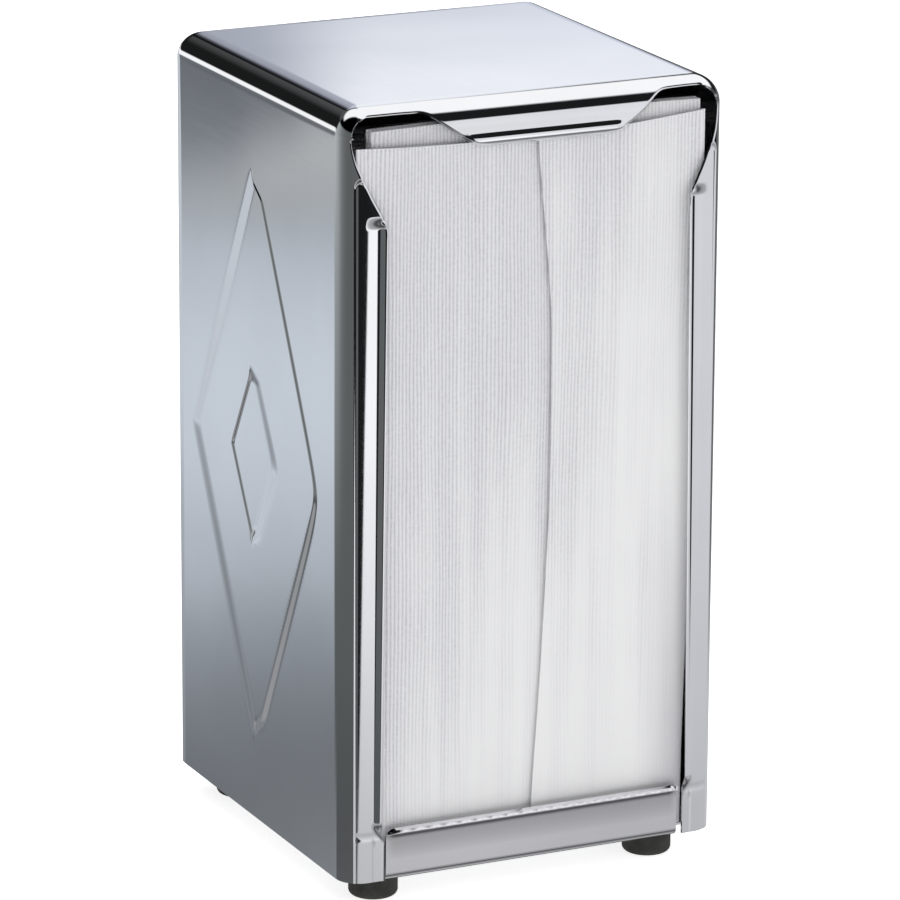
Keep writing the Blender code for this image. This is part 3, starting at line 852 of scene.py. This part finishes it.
def napkin_path(z, layer, way):
    """Cross-section of a napkin folded to the middle from both sides, as (x, depth) points."""
    side = way * NAPKIN_SLIP
    slit = -way * float(SLIT(z)) - side
    inset = LAYER_INSET * layer
    half = NAPKIN_HALF + 0.1 - inset
    front = LAST_FRONT - inset
    back = front - FOLDED_DEPTH + 2 * inset
    by_slit = np.linspace(slit + 3.0, slit - 6.0, 14)
    left = np.concatenate([by_slit, np.linspace(slit - 8.0, -half + 0.6, 26)])
    # the left flap slips under the right one
    tuck = 0.5 * (1.0 - ease(slit + 0.6 - left, 0.0, 5.5))
    left_y = front - 0.03 - tuck
    turn = np.linspace(math.pi / 2, -math.pi / 2, 9)
    middle, r = (front + back) / 2, (front - back) / 2
    fold_left = [(-half + 0.45 - 0.45 * math.cos(a), middle + r * math.sin(a)) for a in turn]
    lean = NAPKIN_LEAN * (1.0 - ease(z, 10.0, LEAN_TOP))
    across = [(min(x, half - 1.2 - lean), back) for x in np.linspace(-half + 1.2, half - 1.2, 44)]
    fold_right = [(-x - lean, y) for x, y in reversed(fold_left)]
    by_slit = np.linspace(slit + 6.0, slit - 0.1, 10)
    right = np.concatenate([np.linspace(half - 0.6 - lean, slit + 8.0, 26), by_slit])
    right_y = front + 0.02 + 0.22 * (1.0 - ease(right - slit, 0.0, 5.0))
    path = list(zip(left, left_y)) + fold_left + across + fold_right + list(zip(right, right_y))
    return np.array(path) + np.array([side, 0.0])


def build_outer_napkin(fore, way, mat):
    """A 178 x 343 mm tissue, folded in half across and then to the middle from both sides."""
    low = NAPKIN_BOTTOM + 0.3
    rows = []
    for layer, heights in ((0, np.linspace(1.0, 0.0, 60)), (1, np.linspace(0.0, 0.985, 56))):
        for t in heights:
            path = napkin_path(low + FOLD_HEIGHT * t, layer, way)
            x = path[:, 0]
            top = FRONT_TOP(-way * x) - 0.6 * layer
            z = low + (top - low) * t
            depth = path[:, 1] + 0.05 * np.sin(x * 0.21 + z * 0.013) * ease(t, 0.02, 0.2)
            rows.append(np.stack([x, way * depth, z], -1))
    napkin = solid_sheet("folded_napkin_" + fore, np.array(rows), mat, PAPER)
    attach(napkin, "body")
    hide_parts(fore + "_napkin")


# the napkins behind: how far their two sides stay inside the outermost one's, and their lean
PACK_GAPS = (2.7, 1.1)
PACK_LEAN = 3.9
PACK_SAG = 0.45
# the first few reach up behind the lip and the others end lower
FULL_HEIGHT_PACKS = 4
LOWER_TOP = 177.2


def pack_outline(middle, r, left, right):
    """One folded napkin seen from above: two straight faces and a round fold at each side."""
    turn = np.linspace(math.pi / 2, -math.pi / 2, 7)
    ring = [(x, middle + r) for x in np.linspace(-left + r, right - r, 30)]
    ring += [(right - r + r * math.cos(a), middle + r * math.sin(a)) for a in turn[1:-1]]
    ring += [(x, middle - r) for x in np.linspace(right - r, -left + r, 30)]
    ring += [(-left + r - r * math.cos(a), middle + r * math.sin(a)) for a in turn[::-1][1:-1]]
    return np.array(ring)


def build_stack(fore, way, mat):
    """The folded napkins behind: thin packs whose edges don't quite line up."""
    rng = np.random.default_rng(5 if way < 0 else 6)
    edges = [STACK_FRONT]
    while edges[-1] > STACK_BACK + 0.6:
        edges.append(max(edges[-1] - rng.uniform(0.75, 1.05), STACK_BACK))
    verts, faces = [], []
    for k, (a, b) in enumerate(zip(edges, edges[1:])):
        half_l = NAPKIN_HALF - PACK_GAPS[0] - rng.uniform(0.0, 0.7)
        half_r = NAPKIN_HALF - PACK_GAPS[1] - rng.uniform(0.0, 0.7)
        top = STACK_TOP - 0.25 - rng.uniform(0.0, 0.35)
        if k >= FULL_HEIGHT_PACKS:
            top = LOWER_TOP - rng.uniform(0.0, 1.6)
        bottom = NAPKIN_BOTTOM + rng.uniform(0.02, 0.3)
        sway = rng.uniform(-0.5, 0.5)
        middle = (a + b) / 2
        outline = pack_outline(middle, (a - b) * 0.94 / 2, half_l, half_r)
        x, y = outline[:, 0], outline[:, 1]
        heights = [bottom, 60.0, 120.0, top - 6.0, top - 0.25, top]
        first = len(verts) * len(outline)
        for z in heights:
            lean = PACK_LEAN * max(1.0 - z / LEAN_TOP, 0.0)
            sag = PACK_SAG * (np.cos(x / NAPKIN_HALF * 2.2 + sway) - 1.0) * (z > LEAN_TOP)
            pull = 0.75 if z == top else 1.0
            leant = x - lean * np.maximum(x / half_r, 0.0)
            verts.append(np.stack([leant, way * (middle + (y - middle) * pull), z + sag], -1))
        faces += [[first + v for v in face] for face in tube_faces(len(heights), len(outline))]
    mesh = closed_mesh("napkin_pack_" + fore, np.concatenate(verts), faces)
    pack = link("napkin_pack_" + fore, mesh, mat, 45.0)
    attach(pack, "body")
    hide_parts(fore + "_napkin_stack")
    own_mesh(pack)


# =====================================================================================
# studio
# =====================================================================================


class Sky:
    """A dark studio and the soft panels in it, laid one over the other.

    Panels are placed by compass bearing and height in degrees: 0 is the front, plus is towards +X,
    and the back is at 180 on both sides.
    """

    def __init__(self, graph):
        parts = graph.node("ShaderNodeSeparateXYZ")
        graph.put(parts.inputs[0], graph.node("ShaderNodeTexCoord").outputs["Generated"])
        x, y, z = parts.outputs
        degrees = 180.0 / math.pi
        self.graph = graph
        self.height = graph.times(graph.math("ARCSINE", z), degrees)
        self.bearing = graph.times(graph.math("ARCTAN2", x, graph.times(y, -1.0)), degrees)
        # how far up and back a direction looks
        self.lean = graph.plus(graph.times(x, 0.5), graph.times(y, 0.86))
        self.colour = None
        self.over(1.0, 0.012, (0.95, 1.0, 1.05))

    def over(self, mask, level, tint):
        """Lays a panel over what is there; its level may change across it."""
        node = self.graph.node("ShaderNodeVectorMath", operation="SCALE")
        node.inputs[0].default_value = tint
        self.graph.put(node.inputs["Scale"], level)
        panel = node.outputs[0]
        self.colour = panel if self.colour is None else self.graph.mix(mask, self.colour, panel)


def left_panels(sky, graph, bearing, height):
    """A grey wall on the left, a bright panel behind it and a pale table below."""
    # the wall takes light from the panel
    spread = graph.line(bearing, (-152.0, 0.36), (-128.0, 0.22), (-104.0, 0.06), (-56.0, 0.0))
    spread = graph.times(spread, graph.ramp01(height, -17.4, -13.0, False))
    wall = graph.plus(spread, graph.ramp01(height, -20.5, -16.5, start=0.092, end=0.128))
    wall = graph.times(wall, graph.within(height, -60.0, 24.0, 8.0, 4.0))
    sky.over(graph.within(bearing, -154.0, -29.5, 4.0, 1.6), wall, (0.94, 1.0, 1.0))
    # the panel
    panel = graph.line(
        height, (-21.0, 0.09), (-19.0, 0.21), (-18.0, 0.35), (-17.0, 0.58), (-15.6, 0.72),
        (-14.4, 0.62), (-13.3, 0.30), (-12.3, 0.18), (-10.0, 0.18),
    )
    sky.over(graph.falls(bearing, -155.6, -150.0), panel, (0.87, 0.94, 1.03))
    # beyond its far edge it is brighter, and fades towards the floor
    beyond = graph.falls(bearing, -159.6, -157.8)
    sky.over(graph.times(beyond, graph.ramp01(height, -16.0, -13.5)), 0.66, (0.9, 0.95, 1.03))
    low = graph.line(height, (-26.0, 0.2), (-20.0, 0.24), (-17.0, 0.46), (-15.0, 0.62))
    sky.over(graph.times(beyond, graph.ramp01(height, -15.0, -17.0)), low, (0.88, 0.94, 1.03))
    # a slanted corner of light
    slant = graph.math("SUBTRACT", bearing, graph.times(height, 1.6))
    corner = graph.times(
        graph.ramp01(slant, -136.2, -134.6), graph.ramp01(height, -14.3, -13.2),
        graph.falls(height, -10.5, -9.0), graph.falls(bearing, -153.0, -147.0),
    )
    sky.over(corner, 0.5, (0.95, 0.98, 1.0))
    # the table
    table = graph.times(graph.ramp01(bearing, -40.0, -60.0), graph.falls(height, -22.8, -19.9))
    sky.over(table, 0.34, (0.97, 0.98, 1.0))
    # a thin bright edge over the panel, dark above it, and then grey that fades in
    edge = graph.times(graph.falls(bearing, -153.0, -147.0), graph.ramp01(height, -7.5, -5.0))
    sky.over(edge, graph.within(height, -8.0, 2.0, 1.5, 1.5), (1.05, 1.05, 1.05))
    above = graph.times(graph.falls(bearing, -148.0, -140.0), graph.ramp01(height, 2.0, 3.5))
    sky.over(above, graph.ramp01(height, 19.0, 30.0, start=0.012, end=0.09), (0.97, 1.0, 1.0))


def front_panel(sky, graph, bearing, height):
    """Near white, dimmer to the right of the middle and towards the floor."""
    near = graph.line(
        height, (-24.0, 0.4), (-20.2, 0.60), (-19.4, 0.68), (-18.5, 0.76), (-17.5, 0.92),
        (-16.6, 1.02), (-15.5, 1.08), (0.0, 1.08), (6.0, 0.88), (30.0, 0.88),
    )
    aside = graph.line(
        height, (-24.0, 0.4), (-20.2, 0.54), (-18.5, 0.64), (-16.0, 0.72), (-13.5, 0.76),
        (0.0, 0.76), (6.0, 0.86), (30.0, 0.86),
    )
    # its left and right edges slant below this height and run straight up above it
    low = graph.math("MINIMUM", height, -13.0)
    left = graph.math("SUBTRACT", bearing, graph.times(low, 7.25))
    right = graph.plus(bearing, graph.times(low, 3.4))
    front = graph.times(
        graph.falls(bearing, 100.0, 108.0), graph.ramp01(left, 112.5, 119.5),
        graph.falls(right, 33.5, 40.5), graph.falls(height, 37.0, 41.0),
    )
    floor = graph.ramp01(height, -38.0, -26.0, start=0.2)
    sky.over(front, graph.times(near, floor), (0.985, 0.985, 1.0))
    sky.over(
        graph.times(front, graph.ramp01(bearing, 25.4, 28.2)), graph.times(aside, floor),
        (0.965, 0.965, 1.0),
    )
    # pale table below
    table = graph.times(graph.within(bearing, -40.0, 130.0, 10.0, 10.0), graph.falls(height, -46.0, -40.0))
    sky.over(table, graph.ramp01(height, -70.0, -55.0, start=0.62, end=0.26), (0.98, 0.98, 1.0))


def right_panels(sky, graph, bearing, height):
    """Grey on the right, lighter near the floor, and two soft panels behind."""
    side = graph.times(graph.within(bearing, 101.0, 150.0, 4.0, 3.0), graph.within(height, -40, 8, 4, 3))
    sky.over(side, graph.ramp01(height, -18.6, -16.8, start=0.62, end=0.135), (0.97, 0.98, 1.0))
    low = graph.times(graph.within(bearing, -157.0, -145.5, 2.0, 2.5), graph.falls(height, -20.6, -18.3))
    sky.over(low, 0.27, (0.9, 0.96, 1.02))
    behind = graph.times(
        graph.within(bearing, 128.0, 177.0, 8.0, 2.0), graph.within(height, -34.0, -5.0, 6.0, 2.0)
    )
    sky.over(behind, 0.42, (0.93, 0.96, 1.0))


def top_panels(sky, graph, bearing, height):
    """Overhead panels nearer the back, and what the flat top and its bend see."""
    up = graph.times(graph.ramp01(height, 27.0, 36.0), graph.ramp01(sky.lean, -0.02, 0.10))
    up = graph.times(up, graph.within(bearing, 40.0, 152.0, 30.0, 2.5))
    sky.over(up, 1.08, (1.0, 1.0, 1.0))
    high = graph.times(graph.ramp01(height, 37.0, 46.0), graph.ramp01(sky.lean, 0.02, 0.16))
    sky.over(high, 1.08, (1.0, 1.0, 1.0))
    # the ceiling behind is blue grey, darker further round, with a white panel on it
    above = graph.math("MAXIMUM", graph.math("SUBTRACT", height, 15.0), 0.0)
    round_it = graph.math("SUBTRACT", bearing, graph.times(above, 0.83))
    plain = graph.line(
        round_it, (153.0, 0.78), (155.0, 0.66), (156.0, 0.56), (157.0, 0.48), (160.0, 0.36),
        (162.5, 0.15), (165.0, 0.045), (172.0, 0.02),
    )
    ceiling = graph.times(
        graph.within(bearing, 151.0, 178.0, 1.5, 2.0), graph.within(height, 1.0, 34.0, 2.0, 4.0)
    )
    sky.over(ceiling, plain, (0.84, 0.885, 1.03))
    bright = graph.times(graph.ramp01(height, 11.0, 12.9), graph.falls(bearing, 155.2, 156.6))
    sky.over(graph.times(ceiling, bright), 1.0, (0.95, 0.97, 1.02))


def build_world():
    world = bpy.data.worlds.new("studio")
    bpy.context.scene.world = world
    world.use_nodes = True
    world.node_tree.nodes.clear()
    graph = Graph(world.node_tree)
    sky = Sky(graph)
    for panels in (left_panels, front_panel, right_panels, top_panels):
        panels(sky, graph, sky.bearing, sky.height)
    background = graph.node("ShaderNodeBackground")
    graph.put(background.inputs["Color"], sky.colour)
    background.inputs["Strength"].default_value = 1.0
    out = graph.node("ShaderNodeOutputWorld")
    graph.put(out.inputs["Surface"], background.outputs[0])


def add_area(name, place, target, size, power):
    data = bpy.data.lights.new(name, "AREA")
    data.shape = "RECTANGLE"
    data.size, data.size_y = size
    data.energy = power
    lamp = bpy.data.objects.new(name, data)
    bpy.context.scene.collection.objects.link(lamp)
    lamp.location = place
    aim = Vector(target) - Vector(place)
    lamp.rotation_euler = aim.to_track_quat("-Z", "Y").to_euler()
    lamp.visible_glossy = False


def build_floor():
    """Plain pale floor."""
    mesh = bpy.data.meshes.new("floor")
    mesh.from_pydata([(-8, -8, 0), (8, -8, 0), (8, 8, 0), (-8, 8, 0)], [], [(0, 1, 2, 3)])
    mat = bpy.data.materials.new("floor")
    mat.use_nodes = True
    shader = mat.node_tree.nodes["Principled BSDF"]
    shader.inputs["Base Color"].default_value = (0.9, 0.9, 0.9, 1)
    shader.inputs["Roughness"].default_value = 0.9
    shader.inputs["Specular IOR Level"].default_value = 0.0
    shader.inputs["Emission Color"].default_value = (1, 1, 1, 1)
    shader.inputs["Emission Strength"].default_value = 0.8
    mesh.materials.append(mat)
    floor = bpy.data.objects.new("floor", mesh)
    bpy.context.scene.collection.objects.link(floor)
    floor.visible_glossy = False
    return floor


def build_backdrop():
    """Pale backdrop all round, seen by the camera alone."""
    mesh = bpy.data.meshes.new("backdrop")
    bm = bmesh.new()
    bmesh.ops.create_uvsphere(bm, u_segments=48, v_segments=24, radius=20.0)
    bm.to_mesh(mesh)
    bm.free()
    mat = bpy.data.materials.new("backdrop")
    mat.use_nodes = True
    mat.node_tree.nodes.clear()
    graph = Graph(mat.node_tree)
    glow = graph.node("ShaderNodeEmission")
    glow.inputs["Color"].default_value = (1, 1, 1, 1)
    glow.inputs["Strength"].default_value = 1.0
    out = graph.node("ShaderNodeOutputMaterial")
    graph.put(out.inputs["Surface"], glow.outputs[0])
    mesh.materials.append(mat)
    backdrop = bpy.data.objects.new("backdrop", mesh)
    bpy.context.scene.collection.objects.link(backdrop)
    backdrop.visible_glossy = False
    backdrop.visible_diffuse = False
    backdrop.visible_shadow = False
    backdrop.visible_transmission = False
    return backdrop


def build_studio():
    build_world()
    add_area("key", (-0.9, -1.3, 1.2), (0, 0, 0.1), (1.2, 1.2), 7.5)
    add_area("fill", (1.0, -1.4, 0.7), (0, 0, 0.1), (1.2, 1.2), 2.0)
    add_area("over", (0.1, 0.2, 2.2), (0, 0, 0.0), (2.5, 2.5), 16.0)
    floor = build_floor()
    backdrop = build_backdrop()
    settings = bpy.context.scene.view_settings
    settings.view_transform = "Standard"
    settings.look = "None"
    settings.exposure = 0.0
    settings.gamma = 1.0


def paint_node(name, mat):
    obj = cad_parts[name]
    obj.data.materials.clear()
    obj.data.materials.append(mat)


def main():
    make_camera()
    build_studio()
    chrome = chrome_material("bright_chrome", (0.86, 0.87, 0.89), 0.045, 0.00012)
    pan_chrome = chrome_material("pan_chrome_look", (0.80, 0.80, 0.82), 0.09, 0.00008)
    plate = plate_material("plate_look", (0.60, 0.61, 0.63), 0.3)
    wire = plate_material("wire_look", (0.45, 0.45, 0.47), 0.24)
    rivet = plate_material("rivet_look", (0.62, 0.62, 0.62), 0.28)
    rubber = rubber_material("rubber_look")
    paper = paper_material("paper_look")
    # the napkins behind get a copy 3% darker: painted shade inside the casing
    paper_behind_shaded = paper_material("paper_back_look", 0.97)
    build_casing(chrome)
    build_pan(pan_chrome)
    build_feet(rubber)
    build_springs(wire)
    for fore, way in (("front", -1), ("rear", 1)):
        build_outer_napkin(fore, way, paper)
        build_stack(fore, way, paper_behind_shaded)
    for name in ("divider_plate", "front_follower", "rear_follower"):
        paint_node(name, plate)
    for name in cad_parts:
        if "rivet" in name or "washer" in name:
            paint_node(name, rivet)


main()
